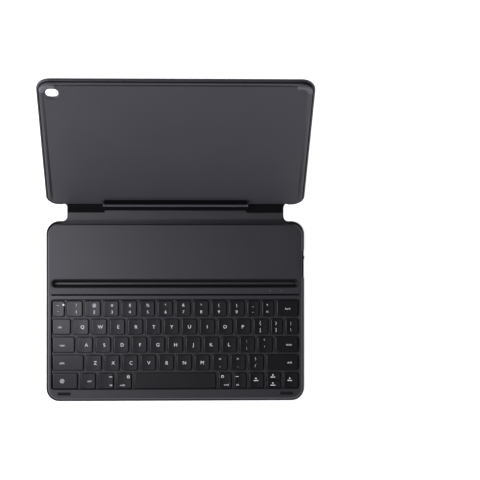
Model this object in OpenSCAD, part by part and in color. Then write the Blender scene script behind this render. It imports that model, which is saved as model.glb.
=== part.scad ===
// Folio keyboard case for a tablet of the 10-inch class, opened with the back panel standing.
// Frame: +Z up, X across the keys, +Y away from the typist. Origin on the table under the base's middle.
// Back-panel pieces are drawn flat in panel coordinates: x across, y up the panel from the
// cover fold, z from the fold's axis towards the tablet. lid() then stands them up.

/* [Case] */
// width of the base and of the cover panels, mm
case_w = 258; // [250:0.5:266]
// front-to-back length of the base and length of the back panel, mm
case_d = 180; // [170:0.5:190]
// corner radius of the base and cover, mm
case_r = 13; // [8:0.5:16]
// height of the deck above the table, mm
base_h = 8.8; // [8:0.1:10]
// thickness of the outer skin, mm
skin_t = 0.9; // [0.6:0.1:1.4]
// thickness of the stiffener in the back panel, mm
board_t = 1.1; // [0.8:0.1:1.6]

/* [Folds] */
// length of the spine between its two folds, mm
spine_l = 18; // [16:0.5:22]
// half width of the spine, mm
spine_hw = 108.6; // [100:0.2:120]
// height of each fold's axis above the outer face of the skin, mm
axis_h = 0.5; // [0.3:0.1:0.8]
// angle of the back panel above the table as drawn, degrees
lid_deg = 52; // [0:1:110]
// distance up the back panel to the stand fold, mm
stand_at = 100; // [90:0.5:110]
// bare skin left on each side of a fold, mm
fold_gap = 1.0; // [0.8:0.1:2]

/* [Keys] */
// pitch of the key rows, mm
row_pitch = 18; // [17:0.1:19]
// front-to-back size of a key, mm
key_d = 15.2; // [14:0.1:17]
// gap between two keys of a row, mm
key_gap = 2.8; // [2:0.1:3.5]
// corner radius of a key, mm
key_r = 1.7; // [1:0.1:3]
// travel of a key, mm
key_travel = 1.4; // [1:0.1:2]
// left edge of the first key, mm
key_x0 = -122.3; // [-124:0.1:-120]
// middle of the first key row, mm
key_y0 = 2.4; // [0:0.1:5]
// clear slot around a key in the web, mm
web_gap = 0.8; // [0.5:0.1:1.2]

/* [Rear deck] */
// middle of the tablet groove, mm
groove_y = 27.5; // [20:0.1:35]
// width of the groove at the deck, mm
groove_w = 8.8; // [7:0.1:10]
// height of the groove's floor above the table, mm
groove_z = 5.6; // [5:0.1:6.4]

/* [Tray] */
// width of the tablet tray, mm
tray_w = 252.8; // [250:0.1:254]
// start and end of the tray along the panel, mm
tray_s0 = 2.3; // [2:0.1:4]
// far end of the tray along the panel, mm
tray_s1 = 178; // [174:0.1:178.6]
// width of the top of the tray's rim, mm
rim_w = 2.2; // [1.6:0.1:3]
// width of the rim's inner slope, mm
rim_slope = 2.3; // [0.5:0.1:3]
// width of the skin turned over the panel's edge, mm
hem_w = 1.9; // [1:0.1:2.2]
// half width of the lower lip, mm
lip_hw = 72.4; // [60:0.2:90]

/* [Hidden] */
$fn = 64;
e = 0.01;
inset_b = 1.6;              // base moulding inside the skin's edge
split_z = 5.0;              // shell below, deck above
plate_z = 7.0;              // underside of the deck plate
key_top = base_h - 0.2;
key_h = 1.8;
well_y1 = 12.0;
well_y0 = -78.7;
well_hw = 124.6;
well_cx = 0.15;
fold1_y = case_d / 2;                  // base to spine
fold2_y = case_d / 2 + spine_l;        // spine to back panel
n0 = -axis_h;                          // outer face of the panel
n1 = n0 + skin_t;                      // skin to board
n2 = n1 + board_t;                     // face of the board
n3 = n2 + 0.1;                         // back of the tray, below the bonding pad
n4 = n3 + 1.0;                         // tray floor
n5 = n4 + 0.3;                         // liner face
n6 = n3 + 2.0;                         // rim top
n7 = n3 + 5.8;                         // corner grip top
n8 = n4 + 6.4;                         // lower lip top
n_hem = n2 + 0.8;                      // top of the turned skin
cam_x = -114.7;
cam_s = 162.2;

// Each row is a list of [name, width]. A half-height pair of arrows stands in "updown".
rows = [
  [["grave", 11.4], ["n1", 15.2], ["n2", 15.2], ["n3", 15.2], ["n4", 15.2], ["n5", 15.2], ["n6", 15.2],
   ["n7", 15.2], ["n8", 15.2], ["n9", 15.2], ["n0", 15.2], ["minus", 12], ["equals", 12], ["delete", 21.4]],
  [["tab", 17.6], ["q", 15.2], ["w", 15.2], ["e", 15.2], ["r", 15.2], ["t", 15.2], ["y", 15.2], ["u", 15.2],
   ["i", 15.2], ["o", 15.2], ["p", 15.2], ["bracket_l", 14.7], ["bracket_r", 11.8], ["backslash", 12.7]],
  [["caps", 21.6], ["a", 15.2], ["s", 15.2], ["d", 15.2], ["f", 15.2], ["g", 15.2], ["h", 15.2], ["j", 15.2],
   ["k", 15.2], ["l", 15.2], ["semicolon", 15.2], ["quote", 15.2], ["enter", 22.8]],
  [["shift_l", 30.5], ["z", 15.2], ["x", 15.2], ["c", 15.2], ["v", 15.2], ["b", 15.2], ["n", 15.2],
   ["m", 15.2], ["comma", 15.2], ["period", 15.2], ["slash", 15.2], ["shift_r", 31.9]],
  [["fn", 24.6], ["ctrl", 15.2], ["alt_l", 15.0], ["super_l", 15.2], ["space", 81.5], ["super_r", 12.7],
   ["alt_r", 12.3], ["left", 14.6], ["updown", 14.2], ["right", 14.7]]
];

function key_left(r, i) = i == 0 ? key_x0 : key_left(r, i - 1) + rows[r][i - 1][1] + key_gap;

// 2-D rounded rectangle, centred
module rr(w, d, r) {
  square([w - 2 * r, d], center = true);
  square([w, d - 2 * r], center = true);
  for (sx = [-1, 1], sy = [-1, 1]) translate([sx * (w / 2 - r), sy * (d / 2 - r)]) circle(r);
}

// rounded rectangle whose sides lean in by c over its height h
module rr_taper(w, d, r, h, c) {
  for (sx = [-1, 1], sy = [-1, 1])
    translate([sx * (w / 2 - r), sy * (d / 2 - r), 0]) cylinder(h = h, r1 = r, r2 = r - c);
  translate([-w / 2 + r, 0, 0]) rotate([90, 0, 90]) linear_extrude(w - 2 * r)
    polygon([[-d / 2, 0], [d / 2, 0], [d / 2 - c, h], [-d / 2 + c, h]]);
  translate([0, d / 2 - r, 0]) rotate([90, 0, 0]) linear_extrude(d - 2 * r)
    polygon([[-w / 2, 0], [w / 2, 0], [w / 2 - c, h], [-w / 2 + c, h]]);
}

// long slot with round ends along X
module stadium(w, d) {
  square([w - d, d], center = true);
  for (s = [-1, 1]) translate([s * (w / 2 - d / 2), 0]) circle(d / 2);
}

// box with its middle on x and y
module slab(x, y, z, w, d, h) translate([x - w / 2, y - d / 2, z]) cube([w, d, h]);

module lid() translate([0, fold2_y, axis_h]) rotate([lid_deg, 0, 0]) children();

// ---------- base ----------
screw_at = [[-119, 79], [0, 82], [112, 79], [-119, 14], [0, 14], [119, 14]];

// the outer skin under the base, up to the spine fold
module cover_base() color([0.30, 0.30, 0.32]) difference() {
  linear_extrude(skin_t) rr(case_w, case_d, case_r);
  slab(0, fold1_y, -1, 2 * spine_hw - 8, 2 * fold_gap, 4);
}

module side_notch() {
  slab(127.7, 47, 2.2, 3, 27, 6.2);
  translate([120, 41, 4.5]) rotate([90, 0, 90]) linear_extrude(8) stadium(9.3, 3.6);
  slab(125, 52, 3.7, 4, 6.0, 1.6);
}

// tub of the base
module base_shell() color([0.22, 0.22, 0.23]) difference() {
  union() {
    difference() {
      translate([0, -0.5, skin_t]) linear_extrude(split_z - skin_t)
        rr(case_w - 2 * inset_b, case_d - 2 * inset_b - 1, case_r - inset_b);
      translate([0, -0.5, 1.9]) linear_extrude(5)
        rr(case_w - 2 * inset_b - 6, case_d - 2 * inset_b - 7, case_r - inset_b - 3);
    }
    slab(0, 13.6, 1.5, 246, 1.6, split_z - 1.5);
    for (p = screw_at) translate([p[0], p[1], 1.5]) cylinder(h = split_z - 1.5, r = 2.6);
  }
  side_notch();
  for (p = screw_at) translate([p[0], p[1], 0]) {
    cylinder(h = 10, r = 1.0);
    cylinder(h = 1.7, r = 2.2);
  }
}

// outline of the soft panel grown by c: square front corners, rear corners that follow the deck's
module soft2d(c) intersection() {
  translate([0, 51.4]) rr(250.8 + 2 * c, 68.8 + 2 * c, 3 + c);
  translate([0, -0.5]) rr(250.8 + 2 * c, 172.6 + 2 * c, 9.4 + c);
}

// seat of the soft panel, with a gap in front of it
module seat2d() intersection() {
  translate([0, 50.6]) rr(251.6, 70.8, 3.4);
  translate([0, -0.5]) rr(251.6, 173.4, 9.8);
}

// deck of the base, with the key well, the panel's seat and the groove's slot
module deck_frame() color([0.27, 0.27, 0.28]) difference() {
  union() {
    difference() {
      translate([0, -0.5, split_z]) linear_extrude(plate_z - split_z + 0.3)
        rr(case_w - 2 * inset_b, case_d - 2 * inset_b - 1, case_r - inset_b);
      translate([0, -0.5, split_z - 1]) linear_extrude(plate_z - split_z + 1)
        rr(case_w - 2 * inset_b - 5, case_d - 2 * inset_b - 6, case_r - inset_b - 2.5);
    }
    translate([0, -0.5, plate_z + 0.3])
      rr_taper(case_w - 2 * inset_b, case_d - 2 * inset_b - 1, case_r - inset_b, base_h - plate_z - 0.3, 1.3);
    for (p = screw_at) translate([p[0], p[1], split_z]) cylinder(h = plate_z - split_z + 0.2, r = 2.4);
  }
  // key well, walls leaning out
  translate([well_cx, (well_y0 + well_y1) / 2, plate_z - e])
    mirror([0, 0, 1]) translate([0, 0, -(base_h - plate_z) - 0.1])
      rr_taper(2 * well_hw, well_y1 - well_y0, 3.2, base_h - plate_z + 0.2, 1.4);
  // seat of the rear panel
  translate([0, 0, base_h - 0.6]) linear_extrude(2) seat2d();
  translate([0, 0, base_h - 1.3]) linear_extrude(2) difference() {
    intersection() { seat2d(); translate([-150, 10]) square([300, 11]); }
    soft2d(0);
  }
  // groove
  translate([0, groove_y, 0]) linear_extrude(20) stadium(248.8, groove_w + 0.2);
  side_notch();
  for (x = [94.3, 105.8]) translate([x, 20, 0]) cylinder(h = 20, r = 0.7);
  for (s = [-1, 1]) slab(s * 111.2, -82.6, base_h - 0.9, 12.9, 3.1, 2);
  for (p = screw_at) translate([p[0], p[1], 0]) cylinder(h = plate_z + 0.8, r = 0.8);
}

// soft panel behind the keys
module rear_panel() color([0.28, 0.28, 0.30]) difference() {
  translate([0, 0, base_h - 0.6]) linear_extrude(0.6) soft2d(0);
  translate([0, groove_y, 0]) linear_extrude(20) stadium(248.8, groove_w + 0.2);
  for (x = [94.3, 105.8]) translate([x, 20, 0]) cylinder(h = 20, r = 0.7);
}

// dark channel that takes the tray's lower edge
module groove_channel() color([0.10, 0.10, 0.11]) difference() {
  translate([0, groove_y, 4.1]) linear_extrude(base_h - 4.1 - 0.1) stadium(248.6, groove_w);
  translate([-119.2, groove_y, 0]) rotate([90, 0, 90]) linear_extrude(238.4)
    polygon([[-1.3, groove_z], [1.3, groove_z], [4.05, base_h + 0.1], [-4.05, base_h + 0.1]]);
  for (s = [-1, 1]) translate([s * 119.2, groove_y, groove_z])
    cylinder(h = base_h + 0.1 - groove_z, r1 = 1.3, r2 = 4.05);
}

// bars between the keys
module key_web() color([0.32, 0.32, 0.33]) translate([0, 0, 5.9]) linear_extrude(1.1) difference() {
  translate([well_cx, (well_y0 + well_y1) / 2]) rr(2 * well_hw - 1.2, well_y1 - well_y0 - 1.2, 3);
  for (r = [0:4]) for (i = [0:len(rows[r]) - 1])
    translate([key_left(r, i) + rows[r][i][1] / 2, key_y0 - r * row_pitch])
      rr(rows[r][i][1] + 2 * web_gap, key_d + 2 * web_gap, key_r + web_gap);
}

module key_backplate() color([0.62, 0.63, 0.65]) difference() {
  slab(0.15, -33.5, 4.0, 245.4, 88, 0.5);
  for (r = [0:3]) for (x = [-102:34:102]) translate([x, -6.6 - r * row_pitch, 0]) cylinder(h = 9, r = 0.9);
}

// circuit sheet with a rubber dome under each key
module key_membrane() color([0.75, 0.76, 0.78]) {
  slab(0.15, -33.5, 4.5, 245, 87.6, 0.2);
  for (r = [0:4]) for (i = [0:len(rows[r]) - 1]) if (rows[r][i][0] != "updown")
    translate([key_left(r, i) + rows[r][i][1] / 2, key_y0 - r * row_pitch, 4.69])
      cylinder(h = 1.31, r1 = 2.2, r2 = 1.3);
  for (s = [-1, 1]) translate([key_left(4, 8) + 7.1, key_y0 - 4 * row_pitch + s * 4.05, 4.69])
    cylinder(h = 1.31, r1 = 1.6, r2 = 1.0);
}

// pair of crossed frames, w by d
module scissor(w, d) {
  difference() { slab(0, 0, 4.72, w, d, 0.6); slab(0, 0, 4, w - 1.4, d - 1.4, 3); }
  difference() { slab(0, 0, 5.32, w - 1.0, d - 1.0, 0.6); slab(0, 0, 4, w - 2.4, d - 2.4, 3); }
}

module scissor_links() color([0.85, 0.85, 0.86]) {
  for (r = [0:4]) for (i = [0:len(rows[r]) - 1]) if (rows[r][i][0] != "updown")
    translate([key_left(r, i) + rows[r][i][1] / 2, key_y0 - r * row_pitch, 0])
      scissor(min(rows[r][i][1] - 3.4, 11), 10);
  for (s = [-1, 1]) translate([key_left(4, 8) + 7.1, key_y0 - 4 * row_pitch + s * 4.05, 0]) scissor(9.5, 5.0);
}

module circuit_board() color([0.10, 0.30, 0.16]) {
  slab(106, 48, 2.0, 31, 30, 0.8);
  slab(98, 42, 2.8, 7, 7, 0.9);
  slab(98, 55, 2.8, 5, 9, 0.8);
  slab(108, 57, 2.8, 4, 4, 0.7);
}

module battery_cells() color([0.70, 0.71, 0.72]) for (x = [-60, 32])
  translate([x, 58, 2.1]) linear_extrude(4.2) rr(84, 42, 2);

module groove_magnets() color([0.65, 0.65, 0.67]) for (x = [-54, -18, 18, 54])
  slab(x, groove_y, 2.1, 24, 6, 1.9);

module port_shell() color([0.70, 0.71, 0.73]) {
  translate([117.6, 41, 4.5]) rotate([90, 0, 90]) difference() {
    linear_extrude(8.4) stadium(8.94, 3.26);
    translate([0, 0, 0.6]) linear_extrude(9) stadium(8.34, 2.66);
  }
  slab(121.0, 41, 4.15, 6.0, 6.7, 0.7);
}

module power_switch() color([0.15, 0.15, 0.16]) difference() {
  slab(120.5, 52, 2.9, 7.0, 9, 3.0);
  slab(123.5, 52, 3.6, 4.0, 6.4, 1.8);
}

// slider of the power switch
module switch_nub() color([0.12, 0.12, 0.13]) {
  slab(125.6, 53.4, 3.9, 7.6, 2.6, 1.2);
}

module indicator_lights() color([0.75, 0.85, 0.80]) for (x = [94.3, 105.8])
  translate([x, 20, 6.6]) cylinder(h = base_h - 6.6, r = 0.55);

module front_bumpers() color([0.12, 0.12, 0.12]) for (s = [-1, 1])
  slab(s * 111.2, -82.6, base_h - 0.9, 12.5, 2.7, 1.4);

module shell_screws() color([0.55, 0.56, 0.58]) for (p = screw_at) translate([p[0], p[1], 0]) {
  translate([0, 0, 0.95]) cylinder(h = 0.75, r = 2.0);
  translate([0, 0, 1.65]) cylinder(h = plate_z + 0.5 - 1.65, r = 0.78);
}

// ---------- spine ----------
module cover_spine() color([0.30, 0.30, 0.32])
  slab(0, fold1_y + spine_l / 2, 0, 2 * spine_hw, spine_l - 2 * fold_gap, skin_t);

module spine_board() color([0.36, 0.34, 0.30])
  slab(0, fold1_y + spine_l / 2, skin_t, 2 * spine_hw - 5, spine_l - 4.6, 0.5);

// ---------- back panel, lower half ----------
// the panel outline between two distances up the panel, set in by c
module panel2d(s0, s1, c) intersection() {
  translate([0, case_d / 2]) rr(case_w - 2 * c, case_d - 2 * c, case_r - c);
  translate([-150, s0]) square([300, s1 - s0]);
}

// the skin turned over the panel's edge, along the sides and the far end
module hem2d(s0, s1) difference() {
  panel2d(s0, s1, 0);
  panel2d(s0 - 1, s1 + 1, hem_w);
  translate([-112, -1]) square([224, 20]);
}

module cover_lower() color([0.30, 0.30, 0.32]) lid() translate([0, 0, n0]) {
  linear_extrude(skin_t) panel2d(fold_gap, stand_at - fold_gap, 0);
  linear_extrude(n_hem - n0) hem2d(fold_gap, stand_at - fold_gap);
}

module lower_board() color([0.36, 0.34, 0.30]) lid()
  translate([0, 0, n1]) linear_extrude(board_t) panel2d(2.0, stand_at - 1.6, 2.1);

// ---------- back panel, upper half, with the tray ----------
module camera2d() translate([cam_x, cam_s]) rr(11.8, 13, 4.6);

module cover_upper() color([0.30, 0.30, 0.32]) lid()
  translate([0, 0, n0]) {
    linear_extrude(skin_t) difference() {
      panel2d(stand_at + fold_gap, case_d, 0);
      camera2d();
    }
    linear_extrude(n_hem - n0) hem2d(stand_at + fold_gap, case_d);
  }

module upper_board() color([0.36, 0.34, 0.30]) lid()
  translate([0, 0, n1]) linear_extrude(board_t) difference() {
    panel2d(stand_at + 1.6, case_d, 3.2);
    camera2d();
  }

tray_l = tray_s1 - tray_s0;
tray_c = (tray_s1 + tray_s0) / 2;
tray_r = 10.6;

module tray_shell() color([0.27, 0.27, 0.29]) lid() {
  difference() {
    union() {
      translate([0, tray_c, n3]) linear_extrude(1.4) rr(tray_w, tray_l, tray_r);
      translate([0, tray_c, n3 + 1.4]) rr_taper(tray_w, tray_l, tray_r, n6 - n3 - 1.4, 0.4);
      // pad bonded to the upper board
      translate([0, 0, n2]) linear_extrude(0.3) panel2d(stand_at + 4, case_d - 4, 4);
    }
    // inside of the rim, its walls leaning out, open at the lower end
    translate([0, tray_s1 - rim_w - 95, n6 + e]) mirror([0, 0, 1])
      rr_taper(tray_w - 2 * rim_w, 190, tray_r - rim_w, n6 - n4 + e, rim_slope);
    translate([0, 0, n3 - 1]) linear_extrude(5) camera2d();
  }
  // low ridge on the lower edge, on both sides of the lip
  for (x = [-121, lip_hw + 0.6]) translate([x, 0, 0]) rotate([90, 0, 90]) linear_extrude(120.4 - lip_hw)
    polygon([[tray_s0, n4 - 0.1], [5.6, n4 - 0.1], [5.6, n4 + 0.1], [2.9, n4 + 0.6], [tray_s0, n4 + 0.4]]);
}

module tray_liner() color([0.30, 0.30, 0.32]) lid()
  translate([0, 0, n4]) linear_extrude(n5 - n4) difference() {
    intersection() {
      translate([0, tray_s1 - rim_w - rim_slope - 95.3])
        rr(tray_w - 2 * (rim_w + rim_slope + 0.3), 190, 5.8);
      translate([-150, 5.8]) square([300, 190]);
    }
    translate([cam_x, cam_s]) rr(13.2, 14.4, 5.3);
    translate([-lip_hw - 1.2, 0]) square([2 * lip_hw + 2.4, 8.6]);
  }

// corner band, w wide, starting c inside the tray's edge, as far as len_x and len_s from the corner
module corner2d(c, w, len_x, len_s) intersection() {
  difference() {
    translate([0, tray_c]) rr(tray_w - 2 * c, tray_l - 2 * c, tray_r - c);
    translate([0, tray_c]) rr(tray_w - 2 * c - 2 * w, tray_l - 2 * c - 2 * w, tray_r - c - w);
  }
  for (s = [0, 1]) mirror([s, 0]) translate([tray_w / 2 - len_x, tray_s1 - len_s]) square([40, 40]);
}

module corner_grips() color([0.24, 0.24, 0.25]) lid() {
  translate([0, 0, n6]) linear_extrude(n7 - 0.9 - n6) corner2d(0.4, 1.7, 14.4, 9.4);
  translate([0, 0, n7 - 0.9]) linear_extrude(0.9) corner2d(0.4, 3.4, 14.4, 9.4);
}

module lip_bar() color([0.26, 0.26, 0.28]) lid() difference() {
  translate([-lip_hw, 0, 0]) rotate([90, 0, 90]) linear_extrude(2 * lip_hw)
    polygon([[4.4, n4], [8.2, n4], [8.2, n8 - 0.4], [7.8, n8], [6.6, n8 - 0.05], [5.3, n8 - 0.25],
      [4.5, n8 - 0.7], [3.95, n8 - 2], [4.4, n4 + 0.9]]);
  for (x = [-54, -18, 18, 54]) translate([x - 12.1, 5.1, n4 + 0.8]) cube([24.2, 2.4, 4.2]);
}

module lip_magnets() color([0.65, 0.65, 0.67]) lid()
  for (x = [-54, -18, 18, 54]) translate([x - 12, 5.2, n4 + 0.9]) cube([24, 2.2, 4.0]);

// ---------- keys ----------
// one keycap, w by d, with its middle at the origin
module cap(w, d) difference() {
  translate([0, 0, key_top - key_h]) {
    linear_extrude(key_h - 0.6) rr(w, d, key_r);
    translate([0, 0, key_h - 0.6]) rr_taper(w, d, key_r, 0.6, 0.7);
  }
  translate([0, 0, key_top - key_h - 1]) linear_extrude(1.9) rr(w - 1.8, d - 1.8, key_r - 0.9);
}

// the key in row r, place i
module key_at(r, i) color([0.13, 0.13, 0.14])
  translate([key_left(r, i) + rows[r][i][1] / 2, key_y0 - r * row_pitch, 0]) cap(rows[r][i][1], key_d);

module key_q() key_at(1, 1);
module key_w() key_at(1, 2);
module key_e() key_at(1, 3);
module key_r() key_at(1, 4);
module key_t() key_at(1, 5);
module key_y() key_at(1, 6);
module key_u() key_at(1, 7);
module key_i() key_at(1, 8);
module key_o() key_at(1, 9);
module key_p() key_at(1, 10);
module key_a() key_at(2, 1);
module key_s() key_at(2, 2);
module key_d() key_at(2, 3);
module key_f() key_at(2, 4);
module key_g() key_at(2, 5);
module key_h() key_at(2, 6);
module key_j() key_at(2, 7);
module key_k() key_at(2, 8);
module key_l() key_at(2, 9);
module key_z() key_at(3, 1);
module key_x() key_at(3, 2);
module key_c() key_at(3, 3);
module key_v() key_at(3, 4);
module key_b() key_at(3, 5);
module key_n() key_at(3, 6);
module key_m() key_at(3, 7);
module key_space() key_at(4, 4);
// number row with its signs
module keys_number() for (i = [0:12]) key_at(0, i);
// brackets, slashes, comma, period, semicolon and quote
module keys_punctuation() {
  for (i = [11:13]) key_at(1, i);
  for (i = [10:11]) key_at(2, i);
  for (i = [8:10]) key_at(3, i);
}
// delete, tab, caps, enter, shifts and the bottom row's modifiers
module keys_modifier() {
  key_at(0, 13);
  key_at(1, 0);
  key_at(2, 0);
  key_at(2, 12);
  key_at(3, 0);
  key_at(3, 11);
  for (i = [0, 1, 2, 3, 5, 6]) key_at(4, i);
}
// left and right arrows, and the half-height up and down pair
module keys_arrow() {
  key_at(4, 7);
  key_at(4, 9);
  color([0.13, 0.13, 0.14]) for (s = [-1, 1])
    translate([key_left(4, 8) + 7.1, key_y0 - 4 * row_pitch + s * 4.05, 0]) cap(14.2, 7.1);
}

cover_base();
base_shell();
deck_frame();
rear_panel();
groove_channel();
key_web();
key_backplate();
key_membrane();
scissor_links();
circuit_board();
battery_cells();
groove_magnets();
port_shell();
power_switch();
switch_nub();
indicator_lights();
front_bumpers();
shell_screws();
cover_spine();
spine_board();
cover_lower();
lower_board();
cover_upper();
upper_board();
tray_shell();
tray_liner();
corner_grips();
lip_bar();
lip_magnets();
key_q();
key_w();
key_e();
key_r();
key_t();
key_y();
key_u();
key_i();
key_o();
key_p();
key_a();
key_s();
key_d();
key_f();
key_g();
key_h();
key_j();
key_k();
key_l();
key_z();
key_x();
key_c();
key_v();
key_b();
key_n();
key_m();
key_space();
keys_number();
keys_punctuation();
keys_modifier();
keys_arrow();
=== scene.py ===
"""Folio keyboard case for a tablet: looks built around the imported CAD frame."""

import math

import bpy
import numpy as np
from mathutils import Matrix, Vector


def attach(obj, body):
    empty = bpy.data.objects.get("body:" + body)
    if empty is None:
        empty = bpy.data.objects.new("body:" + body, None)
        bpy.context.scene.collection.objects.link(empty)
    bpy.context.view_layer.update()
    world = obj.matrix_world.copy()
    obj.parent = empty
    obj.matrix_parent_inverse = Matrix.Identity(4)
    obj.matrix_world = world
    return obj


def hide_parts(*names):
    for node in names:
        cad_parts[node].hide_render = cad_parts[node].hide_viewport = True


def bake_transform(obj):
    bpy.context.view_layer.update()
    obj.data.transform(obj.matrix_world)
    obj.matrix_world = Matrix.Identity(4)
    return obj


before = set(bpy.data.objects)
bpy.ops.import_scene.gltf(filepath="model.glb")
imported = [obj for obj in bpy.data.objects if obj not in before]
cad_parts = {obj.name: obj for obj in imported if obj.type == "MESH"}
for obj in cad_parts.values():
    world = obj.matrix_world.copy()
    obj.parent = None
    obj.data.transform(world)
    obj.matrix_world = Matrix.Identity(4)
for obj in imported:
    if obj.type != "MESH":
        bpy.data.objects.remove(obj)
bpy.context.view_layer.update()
MM = 0.001

# ---------------------------------------------------------------- sizes, mm
CASE_W, CASE_D, CASE_R = 258.0, 180.0, 13.0
SKIN_T = 0.9
SPINE_L, SPINE_HW, SPINE_FILLET = 18.0, 108.6, 5.0
FOLD1_Y = CASE_D / 2
FOLD2_Y = FOLD1_Y + SPINE_L
AXIS_H = 0.5
LID_DEG = 52.0
STAND_AT = 100.0
FOLD_R = 2.2
FOLD_T = FOLD_R * math.tan(math.radians(LID_DEG / 2))
DECK_Z = 8.8
KEY_TOP, KEY_H, KEY_D, KEY_R, KEY_GAP = 8.6, 1.8, 15.2, 1.7, 2.8
KEY_X0, KEY_Y0, ROW_PITCH = -122.3, 2.4, 18.0
CAP_WALL, CAP_EDGE_W, CAP_EDGE_H = 0.9, 0.5, 0.6
HALF_CAP_D, HALF_CAP_Y = 7.1, 4.05
TRAY_W, TRAY_S1, RIM_W, RIM_SLOPE = 252.8, 178.0, 2.2, 2.3
LIP_HW = 72.4
CAM_X, CAM_S = -114.7, 162.2
CAM_HOLE, LINING_HOLE = (11.8, 13.0, 4.6), (13.2, 14.4, 5.3)
GROOVE_Y, GROOVE_W = 27.5, 8.8
HEM_FOOT, HEM_W, HEM_TOP = 0.4, 1.9, 2.8
BASE_HEM_W, BASE_HEM_TOP = 1.35, 7.2
NOTCH_Y, NOTCH_HALF = 47.0, 13.6

# name and width of each key, row by row from the back
ROWS = [
    [("grave", 11.4)] + [(d, 15.2) for d in "1234567890"]
    + [("minus", 12), ("equals", 12), ("delete", 21.4)],
    [("tab", 17.6)] + [(c, 15.2) for c in "qwertyuiop"]
    + [("bracket_l", 14.7), ("bracket_r", 11.8), ("backslash", 12.7)],
    [("caps", 21.6)] + [(c, 15.2) for c in "asdfghjkl"]
    + [("semicolon", 15.2), ("quote", 15.2), ("enter", 22.8)],
    [("shift_l", 30.5)] + [(c, 15.2) for c in "zxcvbnm"]
    + [("comma", 15.2), ("period", 15.2), ("slash", 15.2), ("shift_r", 31.9)],
    [("fn", 24.6), ("ctrl", 15.2), ("alt_l", 15.0), ("super_l", 15.2), ("space", 81.5), ("super_r", 12.7),
     ("alt_r", 12.3), ("left", 14.6), ("updown", 14.2), ("right", 14.7)],
]
LETTERS = "qwertyuiopasdfghjklzxcvbnm"
PUNCTUATION = ("bracket_l", "bracket_r", "backslash", "semicolon", "quote", "comma", "period", "slash")
ARROWS = ("left", "up", "down", "right")


def key_places():
    """{key name: (middle x, middle y, width, depth, CAD node)}: each row is laid left to right, a gap after
    every key, and the up and down arrows share one place, half the depth each."""
    places = {}
    for r, row in enumerate(ROWS):
        left, y = KEY_X0, KEY_Y0 - r * ROW_PITCH
        for name, w in row:
            x = left + w / 2
            if name == "updown":
                places["up"] = (x, y + HALF_CAP_Y, w, HALF_CAP_D, "keys_arrow")
                places["down"] = (x, y - HALF_CAP_Y, w, HALF_CAP_D, "keys_arrow")
            else:
                if name in LETTERS or name == "space":
                    node = f"key_{name}"
                elif r == 0 and name != "delete":
                    node = "keys_number"
                elif name in PUNCTUATION:
                    node = "keys_punctuation"
                elif name in ARROWS:
                    node = "keys_arrow"
                else:
                    node = "keys_modifier"
                places[name] = (x, y, w, KEY_D, node)
            left += w + KEY_GAP
    return places


KEYS = key_places()


# ---------------------------------------------------------------- colour and materials
def linear(hex_code):
    """sRGB hex to linear RGBA: each channel c is c/12.92 below 0.04045, else ((c + 0.055) / 1.055) ** 2.4."""
    c = np.array([int(hex_code[i:i + 2], 16) for i in (1, 3, 5)]) / 255
    c = np.where(c <= 0.04045, c / 12.92, ((c + 0.055) / 1.055) ** 2.4)
    return (*c.tolist(), 1.0)


def add(tree, kind, settings=None, **links):
    """A node of that kind: settings are attributes, or input values when the name is an input's; links go
    from an output socket to the input of that name (underscores stand for spaces, n0, n1 for the number)."""
    n = tree.nodes.new(kind)
    for key, value in (settings or {}).items():
        if isinstance(key, int) or key in n.inputs:
            n.inputs[key].default_value = value
        else:
            setattr(n, key, value)
    for key, socket in links.items():
        name = int(key[1:]) if key[0] == "n" and key[1:].isdigit() else key.replace("_", " ")
        tree.links.new(socket, n.inputs[name])
    return n


def new_material(name):
    """Empty material: (material, node tree, object coordinates, surface socket of the output)."""
    m = bpy.data.materials.new(name)
    m.use_nodes = True
    m.node_tree.nodes.clear()
    out = m.node_tree.nodes.new("ShaderNodeOutputMaterial")
    coords = m.node_tree.nodes.new("ShaderNodeTexCoord").outputs["Object"]
    return m, m.node_tree, coords, out.inputs["Surface"]


def grained(name, light, dark, rough, grain_mm, bump_mm, spread=0.06, ior=1.5, sheen=0.0, glow=0.0):
    """Plastic, rubber or paint with a fine grain: the base colour wanders between light and dark over a few
    centimetres, and a noise of the grain's size moves the roughness by spread and is the relief."""
    m, t, xyz, surface = new_material(name)
    cloud = add(t, "ShaderNodeTexNoise", {"Scale": 28.0, "Detail": 3.0}, Vector=xyz).outputs["Fac"]
    colour = add(t, "ShaderNodeMix", {"data_type": "RGBA", 6: linear(dark), 7: linear(light)}, n0=cloud)
    grain = add(t, "ShaderNodeTexNoise", {"Scale": 1000 / grain_mm, "Detail": 2.0, "Roughness": 0.6},
                Vector=xyz)
    shine = add(t, "ShaderNodeMapRange", {3: rough - spread, 4: rough + spread}, Value=grain.outputs["Fac"])
    relief = add(t, "ShaderNodeBump", {"Strength": 0.5, "Distance": bump_mm * MM},
                 Height=grain.outputs["Fac"])
    skin = add(t, "ShaderNodeBsdfPrincipled", {"IOR": ior, "Sheen Weight": sheen, "Sheen Roughness": 0.4,
                                               "Emission Color": (1, 1, 1, 1), "Emission Strength": glow},
               Base_Color=colour.outputs[2], Roughness=shine.outputs["Result"],
               Normal=relief.outputs["Normal"])
    t.links.new(skin.outputs["BSDF"], surface)
    return m


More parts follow.
